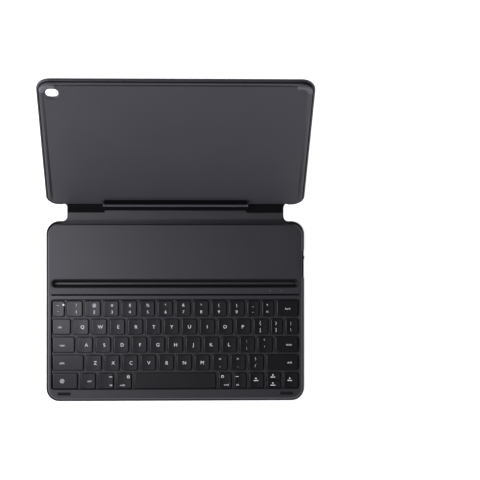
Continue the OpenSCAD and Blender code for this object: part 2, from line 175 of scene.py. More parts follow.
def leathery(name, light, dark, rough, cell_mm, bump_mm, ior=1.5):
    """Embossed polyurethane: cells of cell_mm with creases between them, softened by a finer noise."""
    m, t, xyz, surface = new_material(name)
    cells = add(t, "ShaderNodeTexVoronoi", {"feature": "DISTANCE_TO_EDGE", "Scale": 1000 / cell_mm,
                                            "Randomness": 1.0}, Vector=xyz)
    fine = add(t, "ShaderNodeTexNoise", {"Scale": 2600 / cell_mm, "Detail": 2.0}, Vector=xyz)
    pebble = add(t, "ShaderNodeMapRange", {1: 0.0, 2: 0.12, 3: 0.0, 4: 1.0}, Value=cells.outputs["Distance"])
    height = add(t, "ShaderNodeMath", {"operation": "MULTIPLY_ADD", 1: 0.35},
                 n0=fine.outputs["Fac"], n2=pebble.outputs["Result"])
    cloud = add(t, "ShaderNodeTexNoise", {"Scale": 22.0, "Detail": 3.0}, Vector=xyz)
    base = add(t, "ShaderNodeMix", {"data_type": "RGBA", 6: linear(dark), 7: linear(light)},
               n0=cloud.outputs["Fac"])
    shine = add(t, "ShaderNodeMapRange", {3: rough + 0.08, 4: rough - 0.04}, Value=pebble.outputs["Result"])
    relief = add(t, "ShaderNodeBump", {"Strength": 0.45, "Distance": bump_mm * MM},
                 Height=height.outputs["Value"])
    skin = add(t, "ShaderNodeBsdfPrincipled", {"IOR": ior}, Base_Color=base.outputs[2],
               Roughness=shine.outputs["Result"], Normal=relief.outputs["Normal"])
    t.links.new(skin.outputs["BSDF"], surface)
    return m


def metal(name, colour, rough, scratch_mm):
    """Bare metal: a long, drawn-out noise is the grain left by drawing or rolling."""
    m, t, xyz, surface = new_material(name)
    long = add(t, "ShaderNodeMapping", {"Scale": (0.08, 1, 1)}, Vector=xyz)
    grain = add(t, "ShaderNodeTexNoise", {"Scale": 1000 / scratch_mm, "Detail": 2.0},
                Vector=long.outputs["Vector"])
    shine = add(t, "ShaderNodeMapRange", {3: rough - 0.08, 4: rough + 0.08}, Value=grain.outputs["Fac"])
    skin = add(t, "ShaderNodeBsdfPrincipled", {"Metallic": 1.0, "Base Color": linear(colour)},
               Roughness=shine.outputs["Result"])
    t.links.new(skin.outputs["BSDF"], surface)
    return m


# Polyurethane-coated fabric, embossed: satin, cool charcoal, with creases too fine to see one by one.
PU_SKIN = leathery("pu_coated_fabric", "#232325", "#1f1f21", 0.36, 0.7, 0.05)
# The same coating on the padded panel behind the keys.
PU_PANEL = leathery("pu_soft_panel", "#232325", "#1f1f21", 0.36, 0.7, 0.05)
# Polyurethane sheet inside the tray: lighter and duller than the outside, with shallower creases.
PU_LINER = leathery("pu_tray_liner", "#37373a", "#333336", 0.55, 0.5, 0.03, ior=1.3)
# Moulded ABS with a spark-eroded texture: matte, no visible pattern at arm's length.
ABS_DECK = grained("abs_deck_moulded", "#232325", "#1f1f21", 0.34, 0.35, 0.02)
# The tub under the deck, in a lighter, duller grade.
ABS_SHELL = grained("abs_shell_moulded", "#3a3a3d", "#363639", 0.5, 0.35, 0.02)
# Bars between the keys: the deck's plastic with a shallower texture.
ABS_WEB = grained("abs_web_moulded", "#232325", "#1f1f21", 0.33, 0.35, 0.015)
# Groove: painted shade, near black, so that only the strip on its floor shows.
ABS_GROOVE_SHADE = grained("abs_groove_painted_shade", "#0b0b0c", "#08080a", 0.5, 0.35, 0.02, ior=1.36)
# Power switch and its nub: darker than the shell.
ABS_SWITCH = grained("abs_switch_moulded", "#202022", "#1c1c1e", 0.4, 0.3, 0.02)
# Keycaps: laser-etched ABS with a satin paint, darker and smoother than the deck.
ABS_KEY = grained("abs_keycap_painted", "#0b0b0c", "#08080a", 0.22, 0.25, 0.008, spread=0.03, ior=1.43)
# Legends: pale grey ink, dull.
INK = grained("legend_ink", "#e4e6e8", "#d8dadc", 0.6, 0.3, 0.004)
# Polycarbonate of the tray: satin charcoal like the skin, without its creases.
PC_TRAY = grained("polycarbonate_tray", "#222224", "#1f1f21", 0.36, 0.35, 0.02)
# Rubber over the tray's corners: lighter than the tray, with a soft sheen. On the lip the same lighter colour
# is a painted highlight along its crest.
GRIP_RUBBER_AND_LIP_HIGHLIGHT = grained("tpe_grip_and_lip_highlight", "#454549", "#3e3e42", 0.36, 0.4, 0.02, sheen=0.1)
# Front bumpers: dull black.
SILICONE_BUMPER = grained("silicone_bumper", "#070708", "#050506", 0.7, 0.4, 0.02, ior=1.3)
# Dome sheet under the caps: black silicone.
SILICONE_DOME = grained("silicone_dome_sheet", "#0c0c0d", "#09090a", 0.5, 0.5, 0.02)
# Scissor links: white acetal, satin.
ACETAL = grained("acetal_scissor_links", "#d8d8d8", "#cfcfd0", 0.4, 0.4, 0.01)
# Lining of the back panel, seen when the tray swings out: short-pile fabric, dull.
MICROFIBRE = grained("microfibre_lining", "#2a2a2d", "#242427", 0.85, 0.3, 0.05, sheen=0.3)
# Matt black painted shade: sheets that stand in for the deep shade of the lid's fold, on the lip's inner face
# and in the seam before the soft panel.
PAINTED_SHADE_BLACK = grained("painted_shade_black", "#050506", "#040405", 0.85, 0.25, 0.03, ior=1.22)
# Stiffener in the tray's half of the panel: grey fibreglass board, coarse and dull.
BOARD = grained("fibreglass_board", "#3a3a3d", "#343437", 0.6, 0.5, 0.05)
# Plate under the keys: steel with a black paint, seen only as darkness between the caps.
PAINTED_STEEL = grained("black_painted_steel", "#0d0d0e", "#0a0a0b", 0.45, 0.5, 0.01)
# Circuit board: green solder mask, glossy.
LACQUER = grained("solder_mask_board", "#1d4a2c", "#173f25", 0.3, 1.0, 0.02)
# Pouch of the battery cells: pale foil with a soft shine.
FOIL = metal("laminated_foil_cell", "#c3c5c8", 0.35, 0.6)
# Screws: bare steel.
STEEL = metal("stamped_steel", "#a9abae", 0.35, 0.4)
# Magnets: bright nickel, a little warm.
NICKEL = metal("nickel_plated_magnet", "#b5b2ac", 0.22, 0.4)
# Collar of the charging port: drawn steel, brighter and smoother than the screws.
PORT_STEEL = metal("drawn_steel_port", "#b4b6b9", 0.28, 0.3)
# Light pipes of the indicators, unlit: smoky grey plastic, polished.
ACRYLIC = grained("acrylic_light_pipe", "#6a6f6c", "#626764", 0.15, 0.5, 0.0, spread=0.02, ior=1.49)


# ---------------------------------------------------------------- mesh helpers
def piece(name, verts, faces, material, smooth=True):
    """A mesh object of those points, in mm, at the origin."""
    mesh = bpy.data.meshes.new(name)
    mesh.from_pydata(np.asarray(verts, float).reshape(-1, 3) * MM, [], faces)
    mesh.materials.append(material)
    mesh.polygons.foreach_set("use_smooth", np.full(len(mesh.polygons), smooth))
    mesh.update()
    o = bpy.data.objects.new(name, mesh)
    bpy.context.scene.collection.objects.link(o)
    return o


def loft_faces(rings, count, base=0):
    """Quads joining rings of count points each, every ring closed on itself, and both ends capped."""
    i, j = np.meshgrid(np.arange(rings - 1), np.arange(count), indexing="ij")
    k = (j + 1) % count
    here, on = i * count, (i + 1) * count
    quads = np.stack([here + j, here + k, on + k, on + j], -1).reshape(-1, 4)
    caps = [list(range(count - 1, -1, -1)), list(range((rings - 1) * count, rings * count))]
    return [[v + base for v in f] for f in quads.tolist() + caps]


def rounded(w, d, r, per=10, along=0):
    """Rounded rectangle about the origin: four quarter circles of radius r, counter-clockwise, with that many
    further points along the front and the back edge."""
    a = np.linspace(0, math.pi / 2, per)
    corner = np.stack([np.cos(a), np.sin(a)], -1) * r
    out = []
    for q, (sx, sy) in enumerate(((1, 1), (-1, 1), (-1, -1), (1, -1))):
        c, s = math.cos(q * math.pi / 2), math.sin(q * math.pi / 2)
        out.append(corner @ np.array([[c, s], [-s, c]]) + [sx * (w / 2 - r), sy * (d / 2 - r)])
        if along and sx * sy > 0:
            x = np.linspace(sx * (w / 2 - r), -sx * (w / 2 - r), along + 2)[1:-1]
            out.append(np.c_[x, np.full(along, sy * d / 2)])
    return np.concatenate(out)


def lid(points):
    """Panel coordinates (x, distance up the panel, height off the fold's axis) to the case's frame, in mm:
    turned by the panel's angle about x, then moved to the cover fold."""
    p = np.asarray(points, float)
    x, up, off = p[..., 0], p[..., 1], p[..., 2]
    c, s = math.cos(math.radians(LID_DEG)), math.sin(math.radians(LID_DEG))
    return np.stack([x, FOLD2_Y + up * c - off * s, AXIS_H + up * s + off * c], -1)


def plate(name, outlines, z0, z1, edge, material, place=None):
    """Flat plate between z0 and z1 from closed outlines (the first outside, the others holes), with edges
    rounded by edge: a filled flat curve, extruded and bevelled, made a mesh and then placed."""
    curve = bpy.data.curves.new(name, "CURVE")
    curve.dimensions = "2D"
    curve.fill_mode = "BOTH"
    for outline in outlines:
        spline = curve.splines.new("POLY")
        spline.points.add(len(outline) - 1)
        flat = np.c_[np.asarray(outline), np.zeros(len(outline)), np.ones(len(outline))]
        spline.points.foreach_set("co", flat.ravel())
        spline.use_cyclic_u = True
    curve.extrude = (z1 - z0) / 2 - edge
    curve.bevel_depth = edge
    curve.bevel_resolution = 3
    curve.offset = -edge
    holder = bpy.data.objects.new(name + ".curve", curve)
    mesh = bpy.data.meshes.new_from_object(holder)
    mesh.name = name
    bpy.data.objects.remove(holder)
    co = np.zeros(len(mesh.vertices) * 3)
    mesh.vertices.foreach_get("co", co)
    co = co.reshape(-1, 3) + [0, 0, (z0 + z1) / 2]
    co = (place(co) if place else co) * MM
    mesh.vertices.foreach_set("co", co.ravel())
    mesh.materials.clear()
    mesh.materials.append(material)
    mesh.polygons.foreach_set("use_smooth", np.full(len(mesh.polygons), True))
    mesh.update()
    o = bpy.data.objects.new(name, mesh)
    bpy.context.scene.collection.objects.link(o)
    soften(o)
    return o


def soften(o, degrees=35):
    """Smooth shading that keeps edges sharper than that angle."""
    with bpy.context.temp_override(active_object=o, object=o, selected_objects=[o],
                                   selected_editable_objects=[o]):
        bpy.ops.object.shade_smooth_by_angle(angle=math.radians(degrees))


# ---------------------------------------------------------------- finishes of the CAD nodes
def dress(node, material):
    """The CAD node keeps its mesh and takes the material."""
    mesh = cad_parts[node].data
    mesh.materials.clear()
    mesh.materials.append(material)


for node, material in (
    ("base_shell", ABS_SHELL), ("deck_frame", ABS_DECK), ("groove_channel", ABS_GROOVE_SHADE),
    ("key_web", ABS_WEB), ("key_backplate", PAINTED_STEEL), ("key_membrane", SILICONE_DOME),
    ("scissor_links", ACETAL), ("circuit_board", LACQUER), ("battery_cells", FOIL),
    ("groove_magnets", NICKEL), ("port_shell", PORT_STEEL), ("power_switch", ABS_SWITCH),
    ("switch_nub", ABS_SWITCH), ("indicator_lights", ACRYLIC), ("front_bumpers", SILICONE_BUMPER),
    ("shell_screws", STEEL), ("spine_board", PU_SKIN), ("lower_board", MICROFIBRE),
    ("upper_board", BOARD), ("tray_shell", PC_TRAY), ("corner_grips", GRIP_RUBBER_AND_LIP_HIGHLIGHT),
    # the lip takes the grips' lighter colour as a painted highlight along its crest
    ("lip_bar", GRIP_RUBBER_AND_LIP_HIGHLIGHT), ("lip_magnets", NICKEL), ("rear_panel", PU_PANEL),
    ("tray_liner", PU_LINER), ("cover_base", PU_SKIN), ("cover_spine", PU_SKIN),
    ("cover_lower", PU_SKIN), ("cover_upper", PU_SKIN),
):
    dress(node, material)


# ---------------------------------------------------------------- keycaps
DISH_FROM_EDGE, DISH_REACH = 0.75, 7.0
DISH_NARROW, DISH_WIDE, WIDE_CAP = 0.07, 0.03, 17
TOP_RINGS = (1.0, 1.6, 2.6, 4.0, 5.6, 7.2)


def dip(x, w):
    """Depth of the dish in a cap's top at x from its middle: a parabola from 0 at the side bevels to its full
    depth DISH_REACH in, or in the middle of a narrow cap. Wide caps are nearly flat."""
    half = w / 2 - DISH_FROM_EDGE
    inward = np.clip((half - np.abs(x)) / min(half, DISH_REACH), 0, 1)
    return (DISH_NARROW if w < WIDE_CAP else DISH_WIDE) * (1 - (1 - inward) ** 2)


def keycap(w, d):
    """Rings of one cap about the origin, its top edge at 0: the hollow underside, the straight skirt, an edge
    that is a quarter ellipse, then the dished top in rings towards the middle."""
    loops = []

    def ring(c, r, z):
        flat = rounded(w - 2 * c, d - 2 * c, r, 4, 8)
        loops.append(np.c_[flat, np.full(len(flat), z)])

    ring(CAP_WALL, KEY_R - CAP_WALL, -CAP_WALL)
    ring(CAP_WALL, KEY_R - CAP_WALL, -KEY_H)
    ring(0, KEY_R, -KEY_H)
    for t in np.linspace(0, math.pi / 2, 5):
        c = CAP_EDGE_W * (1 - math.cos(t))
        ring(c, KEY_R - c, -CAP_EDGE_H + CAP_EDGE_H * math.sin(t))
    first_on_top = len(loops) - 1
    deepest = min(w, d) / 2 - 0.5
    for c in TOP_RINGS:
        if c < deepest:
            ring(c, max(0.9 - 0.2 * c, 0.3), 0.0)
    loops = np.array(loops)
    top = loops[first_on_top:]
    top[..., 2] -= dip(top[..., 0], w)
    return loops


def short(node):
    """The node's name without its key_ or keys_."""
    return node.replace("key_", "").replace("keys_", "")


def build_keys():
    """Caps of one CAD node are one piece, placed at their keys, standing for that node."""
    groups = {}
    for x, y, w, d, node in KEYS.values():
        groups.setdefault(node, []).append((x, y, w, d))
    for node, caps in groups.items():
        verts, faces = [], []
        for x, y, w, d in caps:
            loops = keycap(w, d)
            faces += loft_faces(*loops.shape[:2], sum(len(v) for v in verts))
            verts.append(loops.reshape(-1, 3) + [x, y, KEY_TOP])
        o = piece(f"cap_{short(node)}", np.concatenate(verts), faces, ABS_KEY)
        soften(o, 40)
        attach(o, f"{node}_cap" if node.startswith("key_") else f"{node}_caps")
        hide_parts(node)


build_keys()


# ---------------------------------------------------------------- legends
CAPITAL = 0.72
INK_T, INK_ABOVE = 0.012, 0.035
PRINT_RIGHT, PRINT_IN = 0.3, 0.012
UPPER_Y, LOWER_Y = 3.6, -3.2
WORD_Y, SIDE_Y, SIDE_MARK_Y = -0.2, -4.2, 3.9


def glyphs(text, height, x, y, align="CENTER"):
    """Points and faces of a line of text whose capitals are height mm tall, its middle line at y."""
    curve = bpy.data.curves.new("line", "FONT")
    curve.body = text
    curve.size = height / CAPITAL
    curve.align_x = align
    curve.resolution_u = 3
    curve.extrude = INK_T
    curve.offset = -0.004 * curve.size
    holder = bpy.data.objects.new("line", curve)
    mesh = bpy.data.meshes.new_from_object(holder)
    co = np.zeros(len(mesh.vertices) * 3)
    mesh.vertices.foreach_get("co", co)
    co = co.reshape(-1, 3) + [x, y - height / 2, 0]
    faces = [list(p.vertices) for p in mesh.polygons]
    bpy.data.objects.remove(holder)
    bpy.data.curves.remove(curve)
    bpy.data.meshes.remove(mesh)
    return co, faces


SIGNS = {"1": "!", "2": "@", "3": "#", "4": "$", "5": "%", "6": "^", "7": "&", "8": "*", "9": "(", "0": ")",
         "minus": "_", "equals": "+"}
PAIRS = {"bracket_l": ("{", "["), "bracket_r": ("}", "]"), "backslash": ("|", "\\"), "semicolon": (":", ";"),
         "quote": ('"', "'"), "comma": ("<", ","), "period": (">", "."), "slash": ("?", "/")}


def disc(x, y, r, hole=0.0, sides=24):
    """A flat dot, or a ring if hole is given."""
    a = np.linspace(0, 2 * math.pi, sides, endpoint=False)
    rim = np.c_[x + r * np.cos(a), y + r * np.sin(a), np.zeros(sides)]
    if not hole:
        return rim, [list(range(sides))]
    inside = np.c_[x + hole * np.cos(a), y + hole * np.sin(a), np.zeros(sides)]
    k = np.arange(sides)
    k1 = (k + 1) % sides
    return np.concatenate([rim, inside]), np.stack([k, k1, sides + k1, sides + k], -1).tolist()


def triangle(x, y, size, turn):
    """A flat arrowhead about x, y that points up, turned by turn degrees."""
    a = np.radians(np.array([90, 210, 330]) + turn)
    return np.c_[x + size * np.cos(a), y + size * np.sin(a), np.zeros(3)], [[0, 1, 2]]


def bar(x, y, w, h):
    """A flat bar about x, y."""
    return np.array([[x - w / 2, y - h / 2, 0], [x + w / 2, y - h / 2, 0], [x + w / 2, y + h / 2, 0],
                     [x - w / 2, y + h / 2, 0]]), [[0, 1, 2, 3]]


def legend(name, w):
    """The marks on one key of width w, about its middle."""
    left, right = -w / 2, w / 2
    if name in LETTERS and len(name) == 1:
        return [glyphs(name.upper(), 3.5, 0, -0.1)]
    if name in SIGNS:
        low = {"minus": "-", "equals": "="}.get(name, name)
        return [glyphs(SIGNS[name], 3.0, 0, UPPER_Y), glyphs(low, 3.0, 0, LOWER_Y)]
    if name in PAIRS:
        high, low = PAIRS[name]
        return [glyphs(high, 3.0, 0, UPPER_Y), glyphs(low, 3.0, 0, LOWER_Y)]
    if name == "grave":
        return [glyphs("~", 2.6, -2.4, UPPER_Y), glyphs("`", 2.6, -2.4, LOWER_Y), disc(3.0, SIDE_MARK_Y, 1.0)]
    words = {"tab": ("tab", left + 3.4, "LEFT"), "caps": ("caps", left + 5.0, "LEFT"),
             "shift_l": ("shift", left + 5.0, "LEFT"), "ctrl": ("ctrl", 0, "CENTER"),
             "delete": ("back", right - 9.5, "CENTER"), "enter": ("enter", right - 5.0, "RIGHT"),
             "shift_r": ("shift", right - 5.0, "RIGHT")}
    if name in words:
        text, x, align = words[name]
        return [glyphs(text, 2.1, x, WORD_Y, align)]
    sides = {"alt_l": ("alt", right - 2.4, "RIGHT", bar(right - 4.0, SIDE_MARK_Y, 3.0, 0.5)),
             "super_l": ("cmd", left + 2.6, "LEFT", disc(right - 4.2, SIDE_MARK_Y, 1.4, 0.9)),
             "super_r": ("cmd", right - 2.4, "RIGHT", disc(left + 4.0, SIDE_MARK_Y, 1.4, 0.9)),
             "alt_r": ("alt", left + 2.4, "LEFT", bar(left + 3.4, SIDE_MARK_Y, 3.0, 0.5))}
    if name in sides:
        text, x, align, mark = sides[name]
        return [glyphs(text, 2.0, x, SIDE_Y, align), mark]
    if name == "fn":
        return [disc(left + 7.6, WORD_Y, 2.0, 1.6), disc(left + 7.6, WORD_Y, 0.6)]
    if name in ARROWS:
        turn = {"left": 90, "up": 0, "down": 180, "right": -90}[name]
        y = 1.3 if name in ("up", "down") else 1.9
        return [triangle(0, y, 1.1, turn), bar(0, y - 2.2, 4.6, 0.7)]
    return []


def build_legends():
    """The marks of one CAD node's keys are one piece of ink just above the caps, following their dish. The
    print is off the keys' middles: a little to the right, and inwards by more towards a row's ends."""
    groups = {}
    for name, (x, y, w, _, node) in KEYS.items():
        for co, faces in legend(name, w):
            verts, all_faces = groups.setdefault(node, ([], []))
            start = sum(len(v) for v in verts)
            co[:, 0] += PRINT_RIGHT - PRINT_IN * x
            co[:, 2] -= dip(co[:, 0], w)
            verts.append(co + [x, y, KEY_TOP + INK_ABOVE])
            all_faces += [[start + v for v in f] for f in faces]
    for node, (verts, faces) in groups.items():
        o = piece(f"legend_{short(node)}", np.concatenate(verts), faces, INK, False)
        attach(o, f"{node}_cap" if node.startswith("key_") else f"{node}_caps")


build_legends()


# ---------------------------------------------------------------- covers
def along_skin(x, t, h):
    """A point of the skin laid out flat to the case's frame, in mm: x across, t from the base's middle, h
    above the outer face. It is flat up to the cover fold, then an arc of FOLD_R about it, then the panel."""
    u = np.clip((t - FOLD2_Y + FOLD_T) / (2 * FOLD_T), 0, 1) * math.radians(LID_DEG)
    r = FOLD_R - (h - AXIS_H)
    bent = np.stack([x, FOLD2_Y - FOLD_T + r * np.sin(u), AXIS_H + FOLD_R - r * np.cos(u)], -1)
    flat = np.stack([x, t, h], -1)
    stood = lid(np.stack([x, t - FOLD2_Y, h - AXIS_H], -1))
    before, after = (t < FOLD2_Y - FOLD_T)[..., None], (t > FOLD2_Y + FOLD_T)[..., None]
    return np.where(before, flat, np.where(after, stood, bent))


def half_width(t):
    """Half the skin's width at t: rounded rectangles for the base and the panel, joined by the narrower spine
    with a concave quarter circle of SPINE_FILLET at each of its corners."""
    if FOLD1_Y < t < FOLD2_Y:
        near = min(t - FOLD1_Y, FOLD2_Y - t, SPINE_FILLET)
        return SPINE_HW + SPINE_FILLET - math.sqrt(SPINE_FILLET ** 2 - (SPINE_FILLET - near) ** 2)
    middle = 0 if t <= FOLD1_Y else FOLD2_Y + CASE_D / 2
    over = max(abs(t - middle) - (CASE_D / 2 - CASE_R), 0)
    return CASE_W / 2 - CASE_R + math.sqrt(max(CASE_R ** 2 - over ** 2, 0))


def strip(name, t0, t1, material, open_ends=(False, False)):
    """The skin between t0 and t1, SKIN_T thick, a ring of points at each t with half-round side edges. The
    rings are close round the corners, the spine's fillets and the folds. Where an end is open to the air the
    skin thins over its last half thickness as a half circle."""
    half = SKIN_T / 2
    ts = [t0, t1]
    for middle in (0, FOLD2_Y + CASE_D / 2):
        for side in (-1, 1):
            for a in np.linspace(0, math.pi / 2, 12):
                ts.append(middle + side * (CASE_D / 2 - CASE_R + CASE_R * math.sin(a)))
    for a in np.linspace(0, math.pi / 2, 8):
        share = 1 - math.cos(a)
        ts += [FOLD1_Y + 0.001 + SPINE_FILLET * share, FOLD2_Y - 0.001 - SPINE_FILLET * share]
        ts += [t0 + half * share, t1 - half * share]
    for fold in (FOLD1_Y, FOLD2_Y, FOLD2_Y + STAND_AT):
        ts += (fold + np.linspace(-2.0, 2.0, 17)).tolist()
    ts = np.array(sorted({round(t, 4) for t in ts if t0 <= t <= t1}))
    a = np.linspace(-math.pi / 2, math.pi / 2, 7)
    rings = []
    for t in ts:
        thin = 1.0
        for end, is_open in ((t0, open_ends[0]), (t1, open_ends[1])):
            if is_open and abs(t - end) < half:
                thin = max(math.sqrt(1 - (1 - abs(t - end) / half) ** 2), 0.05)
        w = half_width(t)
        right = np.c_[w - half + half * np.cos(a), half + thin * half * np.sin(a)]
        ring = np.concatenate([right, right[::-1] * [-1, 1]])
        rings.append(along_skin(ring[:, 0], np.full(len(ring), t), ring[:, 1]))
    rings = np.array(rings)
    o = piece(name, rings.reshape(-1, 3), loft_faces(*rings.shape[:2]), material)
    soften(o, 50)
    return o


def sweep(name, path, inward, section, material, place=None, lower=None):
    """A section of (distance in from the path, height) points swept along a flat path. lower gives for each
    path point the share of the section's height that is kept."""
    path, inward, section = (np.asarray(v, float) for v in (path, inward, section))
    rings = np.zeros((len(path), len(section), 3))
    rings[..., :2] = path[:, None] + inward[:, None] * section[None, :, :1]
    rings[..., 2] = section[None, :, 1] * (1 if lower is None else np.asarray(lower)[:, None])
    rings = place(rings) if place else rings
    o = piece(name, rings.reshape(-1, 3), loft_faces(*rings.shape[:2]), material)
    soften(o, 40)
    return o


def hem_section(w, h0, h1):
    """Section of skin turned over an edge: w wide, from h0 up to h1, its top half an ellipse, its outer
    foot chamfered."""
    top = np.linspace(math.pi, 0, 9)
    rise = min(0.8, w / 2)
    crown = np.c_[w / 2 + w / 2 * np.cos(top), h1 - rise + rise * np.sin(top)]
    return np.concatenate([[[0.3, h0], [0.04, h0 + 0.3]], crown, [[w, h0]]])[::-1]


def corner(cx, cy, r, end):
    """Quarter circle of radius r about cx, cy, counter-clockwise up to the angle end in degrees: its points
    and the directions inward."""
    a = np.radians(end - np.linspace(0, 90, 12))[::-1]
    out = np.c_[np.cos(a), np.sin(a)]
    return np.c_[cx + r * out[:, 0], cy + r * out[:, 1]], -out


def run(*parts):
    """Joins (points, inward) runs into one path."""
    return np.concatenate([p for p, _ in parts]), np.concatenate([n for _, n in parts])


def straight(a, b, inward, at=()):
    """Straight run from a to b, with further points at those shares of it."""
    share = sorted({0.0, 1.0, *at})
    points = np.array(a, float) + np.outer(share, np.array(b, float) - np.array(a, float))
    return points, np.tile(np.array(inward, float), (len(points), 1))


def build_skin():
    """The skin in four pieces, each over one fold at most."""
    middle_spine, middle_panel, over_stand = FOLD1_Y + SPINE_L / 2, FOLD2_Y + 50, FOLD2_Y + STAND_AT + 3
    base = strip("skin_base", -CASE_D / 2, middle_spine, PU_SKIN, (True, False))
    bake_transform(base)
    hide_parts("cover_base")
    back = strip("skin_fold", middle_spine, middle_panel, PU_SKIN)
    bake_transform(back)
    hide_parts("cover_spine", "cover_lower")
    stand = strip("skin_stand", middle_panel, over_stand, PU_SKIN)
    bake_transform(stand)

    # upper panel, with the camera opening
    start = over_stand - FOLD2_Y
    right, _ = corner(CASE_W / 2 - CASE_R, CASE_D - CASE_R, CASE_R, 90)
    outline = np.concatenate([right, right[::-1] * [-1, 1], [[-CASE_W / 2, start], [CASE_W / 2, start]]])
    hole = rounded(*CAM_HOLE) + [CAM_X, CAM_S]
    upper = plate("skin_upper", [outline, hole], -AXIS_H, SKIN_T - AXIS_H, 0.0, PU_SKIN, lid)
    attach(upper, "tray")
    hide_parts("cover_upper")


def build_hems():
    """Skin turned over the edges of the base and of both halves of the back panel."""
    hw, hd, r = CASE_W / 2, CASE_D / 2, CASE_R
    neck = SPINE_HW + SPINE_FILLET
    low, high = ((y + hd - r) / (2 * (hd - r)) for y in (NOTCH_Y - NOTCH_HALF, NOTCH_Y + NOTCH_HALF))
    points, inward = run(
        straight((-neck, hd), (-hw + r, hd), (0, -1)), corner(-hw + r, hd - r, r, 180),
        straight((-hw, hd - r), (-hw, -hd + r), (1, 0)), corner(-hw + r, -hd + r, r, 270),
        straight((-hw + r, -hd), (hw - r, -hd), (0, 1)), corner(hw - r, -hd + r, r, 0),
        straight((hw, -hd + r), (hw, hd - r), (-1, 0), (low - 0.002, low, high, high + 0.002)),
        corner(hw - r, hd - r, r, 90), straight((hw - r, hd), (neck, hd), (0, -1)))
    in_notch = (points[:, 0] > hw - 1) & (np.abs(points[:, 1] - NOTCH_Y) < NOTCH_HALF + 0.1)
    keep = np.where(in_notch, 0.3, 1.0)
    section = hem_section(BASE_HEM_W, HEM_FOOT, BASE_HEM_TOP)
    hem = sweep("hem_base", points, inward, section, PU_SKIN, None, keep)
    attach(hem, "base")

    section = hem_section(HEM_W, HEM_FOOT - AXIS_H, HEM_TOP - AXIS_H)
    points, inward = run(straight((112.5, 0), (hw - r, 0), (0, 1)), corner(hw - r, r, r, 0),
                         straight((hw, r), (hw, STAND_AT - 0.3), (-1, 0)))
    for side, word in ((-1, "left"), (1, "right")):
        flip = [side, 1]
        hem = sweep(f"hem_lower_{word}", (points * flip)[::side], (inward * flip)[::side], section,
                    PU_SKIN, lid)
        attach(hem, "back_panel")
    points, inward = run(
        straight((hw, STAND_AT + 0.3), (hw, CASE_D - r), (-1, 0)), corner(hw - r, CASE_D - r, r, 90),
        straight((hw - r, CASE_D), (-hw + r, CASE_D), (0, -1)), corner(-hw + r, CASE_D - r, r, 180),
        straight((-hw, CASE_D - r), (-hw, STAND_AT + 0.3), (1, 0)))
    hem = sweep("hem_upper", points, inward, section, PU_SKIN, lid)
    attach(hem, "tray")


build_skin()
build_hems()


# ---------------------------------------------------------------- soft parts
CORNER_POINTS = 10
PANEL_W, PANEL_FRONT, PANEL_FRONT_R, PANEL_REAR, PANEL_REAR_R = 250.8, 17.0, 3.0, 85.8, 9.4
SLOT_L, SEAM_SHADE_L, SEAM_SHADE_Y, FLOOR_STRIP_L, LINE_W, LINE_R = 248.8, 248.6, 16.1, 237.0, 1.5, 0.7
LIGHT_XS, LIGHT_Y, LIGHT_R = (94.3, 105.8), 20, 0.7
LINING_BOTTOM, LINING_TOP = 2.6, 2.9


def build_panel():
    """Soft panel behind the keys, with the groove's slot and the two lights, and the lines beside it: a black
    strip of painted shade in the seam before it, and a strip on the groove's floor.
    """
    front = rounded(PANEL_W, 40, PANEL_FRONT_R, CORNER_POINTS)[2 * CORNER_POINTS:] + [0, PANEL_FRONT + 20]
    rear = rounded(PANEL_W, 40, PANEL_REAR_R, CORNER_POINTS)[:2 * CORNER_POINTS] + [0, PANEL_REAR - 20]
    slot_w = GROOVE_W + 0.2
    slot = rounded(SLOT_L, slot_w, slot_w / 2 - 0.01, 12) + [0, GROOVE_Y]
    a = np.linspace(0, 2 * math.pi, 16, endpoint=False)
    lights = [np.c_[x + LIGHT_R * np.cos(a), LIGHT_Y + LIGHT_R * np.sin(a)] for x in LIGHT_XS]
    outlines = [np.concatenate([rear, front]), slot, *lights]
    panel = plate("soft_panel", outlines, DECK_Z - 0.6, DECK_Z, 0.25, PU_PANEL)
    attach(panel, "base")
    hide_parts("rear_panel")

    # Painted shade: a black strip in the seam before the soft panel.
    line = rounded(SEAM_SHADE_L, LINE_W, LINE_R) + [0, SEAM_SHADE_Y]
    seam_shade = plate("panel_seam_shade", [line], 7.52, 7.85, 0.1, PAINTED_SHADE_BLACK)
    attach(seam_shade, "base")
    # Strip on the groove's floor in the deck's own colour; the rest of the groove is painted near black as
    # shade.
    line = rounded(FLOOR_STRIP_L, LINE_W, LINE_R) + [0, GROOVE_Y]
    strip_in = plate("groove_strip", [line], 5.61, 5.8, 0.1, ABS_DECK)
    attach(strip_in, "base")


def build_spine_pad():
    """Pad inside the spine, its rear edge stepped back behind the lip."""
    wide, rear = SPINE_HW - 0.6, FOLD1_Y + 8.3
    front = rounded(2 * wide, 12, 2.0, CORNER_POINTS)[2 * CORNER_POINTS:] + [0, FOLD1_Y + 7.6]
    outline = np.concatenate([front, [[wide, rear], [71.2, rear], [70.4, rear + 2.2],
                                      [-70.4, rear + 2.2], [-71.2, rear], [-wide, rear]]])
    pad = plate("spine_pad", [outline], SKIN_T, SKIN_T + 0.5, 0.2, PU_SKIN)
    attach(pad, "spine")
    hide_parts("spine_board")


def build_tray_lining():
    """Lining of the tray's floor, cut out for the lip and the camera opening."""
    hw = TRAY_W / 2 - RIM_W - RIM_SLOPE - 0.3
    far = TRAY_S1 - RIM_W - RIM_SLOPE - 0.3
    corners = rounded(2 * hw, 80, 5.8, CORNER_POINTS)[:2 * CORNER_POINTS] + [0, far - 40]
    near, lip, lip_s = 5.8, LIP_HW + 1.2, 8.6
    outline = np.concatenate([corners, [[-hw, near], [-lip, near], [-lip, lip_s], [lip, lip_s],
                                        [lip, near], [hw, near]]])
    hole = rounded(*LINING_HOLE) + [CAM_X, CAM_S]
    liner = plate("tray_lining", [outline, hole], LINING_BOTTOM, LINING_TOP, 0.1, PU_LINER, lid)
    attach(liner, "tray")
    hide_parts("tray_liner")


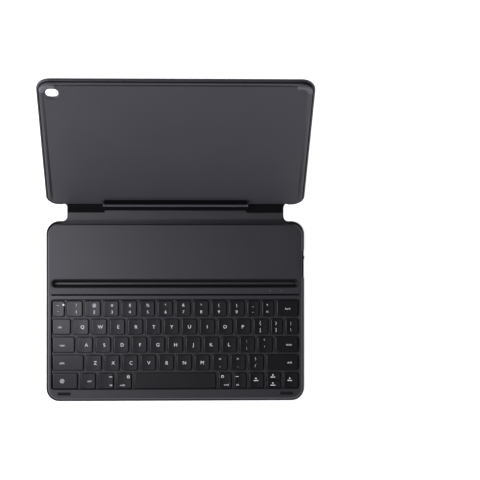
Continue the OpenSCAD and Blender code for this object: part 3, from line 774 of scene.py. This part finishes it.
def build_fold_shade():
    """Black sheet of painted shade over the lid's fold: rings along x, each from its front edge on the spine
    back and up to the foot of the panel. The front edge is stepped back behind the lip, and both ends are
    thinned by deep."""
    rings = []
    for x, front_y, deep in ((-108.3, 99.2, 0.3), (-108.0, 98.5, 1), (-71.4, 98.5, 1), (-70.6, 100.7, 1),
                             (70.6, 100.7, 1), (71.4, 98.5, 1), (108.0, 98.5, 1), (108.3, 99.2, 0.3)):
        top = 0.95 + 0.43 * deep
        near = [[x, front_y, 0.95], [x, front_y + 0.1, top], [x, 105.9, top]]
        bend = lid([[x, 0.7, 0.8 + 0.3 * deep], [x, 1.9, 0.9 + 0.3 * deep], [x, 1.9, 0.5]])
        back = [[x, 107.6, 1.05], [x, 105.9, 0.95]]
        rings.append(np.concatenate([near, bend, back])[::-1])
    rings = np.array(rings)
    shade_sheet = piece("fold_shade", rings.reshape(-1, 3), loft_faces(*rings.shape[:2]), PAINTED_SHADE_BLACK)
    soften(shade_sheet, 30)
    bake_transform(shade_sheet)


def build_lip_shade():
    """Black sheet of painted shade on the lip's inner face, with rounded ends."""
    face = rounded(2 * LIP_HW - 1.0, 5.9, 2.0)
    section = np.stack([face[:, 0], np.full(len(face), 8.2), face[:, 1] + 5.95], -1)
    pad = np.array([section, section + [0, 0.25, 0]])
    o = piece("lip_shade", lid(pad).reshape(-1, 3), loft_faces(*pad.shape[:2]), PAINTED_SHADE_BLACK)
    soften(o, 40)
    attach(o, "tray")


build_panel()
build_spine_pad()
build_tray_lining()
build_fold_shade()
build_lip_shade()


# ---------------------------------------------------------------- studio
STUDIO_TINT = "#f5f3ff"
CARD_RIGHT, CARD_LEFT, CARD_DARK, CARD_BRIGHT = 0.06, -0.07, 0.03, 1.25
RING, RING_FULL_BELOW, RING_GONE_ABOVE = 0.5, 0.3, 0.75
FLOOR_HALF = 4000
FLOOR_DROP = 0.0001


def area(name, place, aim, size, power, colour):
    """Rectangular soft light at place, facing aim, metres and watts."""
    lamp = bpy.data.lights.new(name, "AREA")
    lamp.shape = "RECTANGLE"
    lamp.size, lamp.size_y = size
    lamp.energy = power
    lamp.color = linear(colour)[:3]
    o = bpy.data.objects.new(name, lamp)
    o.location = place
    direction = np.array(aim, float) - np.array(place, float)
    o.rotation_euler = Vector(direction).to_track_quat("-Z", "Y").to_euler()
    o.visible_camera = False
    bpy.context.scene.collection.objects.link(o)


def sky():
    """Soft studio: a bright ring near the horizon all round, and overhead a wide card that is bright to the
    left and falls off to the right, so flat glossy tops fade across the case."""
    world = bpy.data.worlds.new("studio")
    world.use_nodes = True
    t = world.node_tree
    t.nodes["Background"].inputs["Color"].default_value = linear(STUDIO_TINT)
    ray = add(t, "ShaderNodeTexCoord").outputs["Generated"]
    part = add(t, "ShaderNodeSeparateXYZ", Vector=ray)
    across = add(t, "ShaderNodeMapRange", {1: CARD_RIGHT, 2: CARD_LEFT, 3: CARD_DARK, 4: CARD_BRIGHT,
                                           "interpolation_type": "SMOOTHSTEP"}, Value=part.outputs["X"])
    low = add(t, "ShaderNodeMapRange", {1: RING_GONE_ABOVE, 2: RING_FULL_BELOW, 3: 0.0, 4: 1.0,
                                        "interpolation_type": "SMOOTHSTEP"}, Value=part.outputs["Z"])
    ring = add(t, "ShaderNodeMath", {"operation": "MULTIPLY", 1: RING}, n0=low.outputs["Result"])
    total = add(t, "ShaderNodeMath", {"operation": "ADD"}, n0=across.outputs["Result"],
                n1=ring.outputs["Value"])
    t.links.new(total.outputs["Value"], t.nodes["Background"].inputs["Strength"])
    bpy.context.scene.world = world


# White paper sweep: it glows, as on a light table, so shadows on it stay faint.
PAPER = grained("pale_paper_sweep", "#fdfdfd", "#fafafa", 0.9, 3.0, 0.0, glow=0.75)
floor = piece("floor", [[x, y, 0] for x, y in ((-FLOOR_HALF, -FLOOR_HALF), (FLOOR_HALF, -FLOOR_HALF),
                                               (FLOOR_HALF, FLOOR_HALF), (-FLOOR_HALF, FLOOR_HALF))],
              [[0, 1, 2, 3]], PAPER, False)
floor.location.z = -FLOOR_DROP
sky()
area("softbox_left", (-0.38, 0.03, 0.24), (0, 0.03, 0), (0.2, 1.0), 2.6, STUDIO_TINT)

camera = bpy.data.cameras.new("camera")
camera.sensor_width = 36
camera.lens = 122.1
camera.clip_start, camera.clip_end = 0.05, 30
view = bpy.data.objects.new("camera", camera)
view.location = (-0.0067, 0.071, 1.638)
view.rotation_euler = (0, math.radians(-2.5), 0)
bpy.context.scene.collection.objects.link(view)
bpy.context.scene.camera = view
bpy.context.scene.view_settings.view_transform = "Standard"
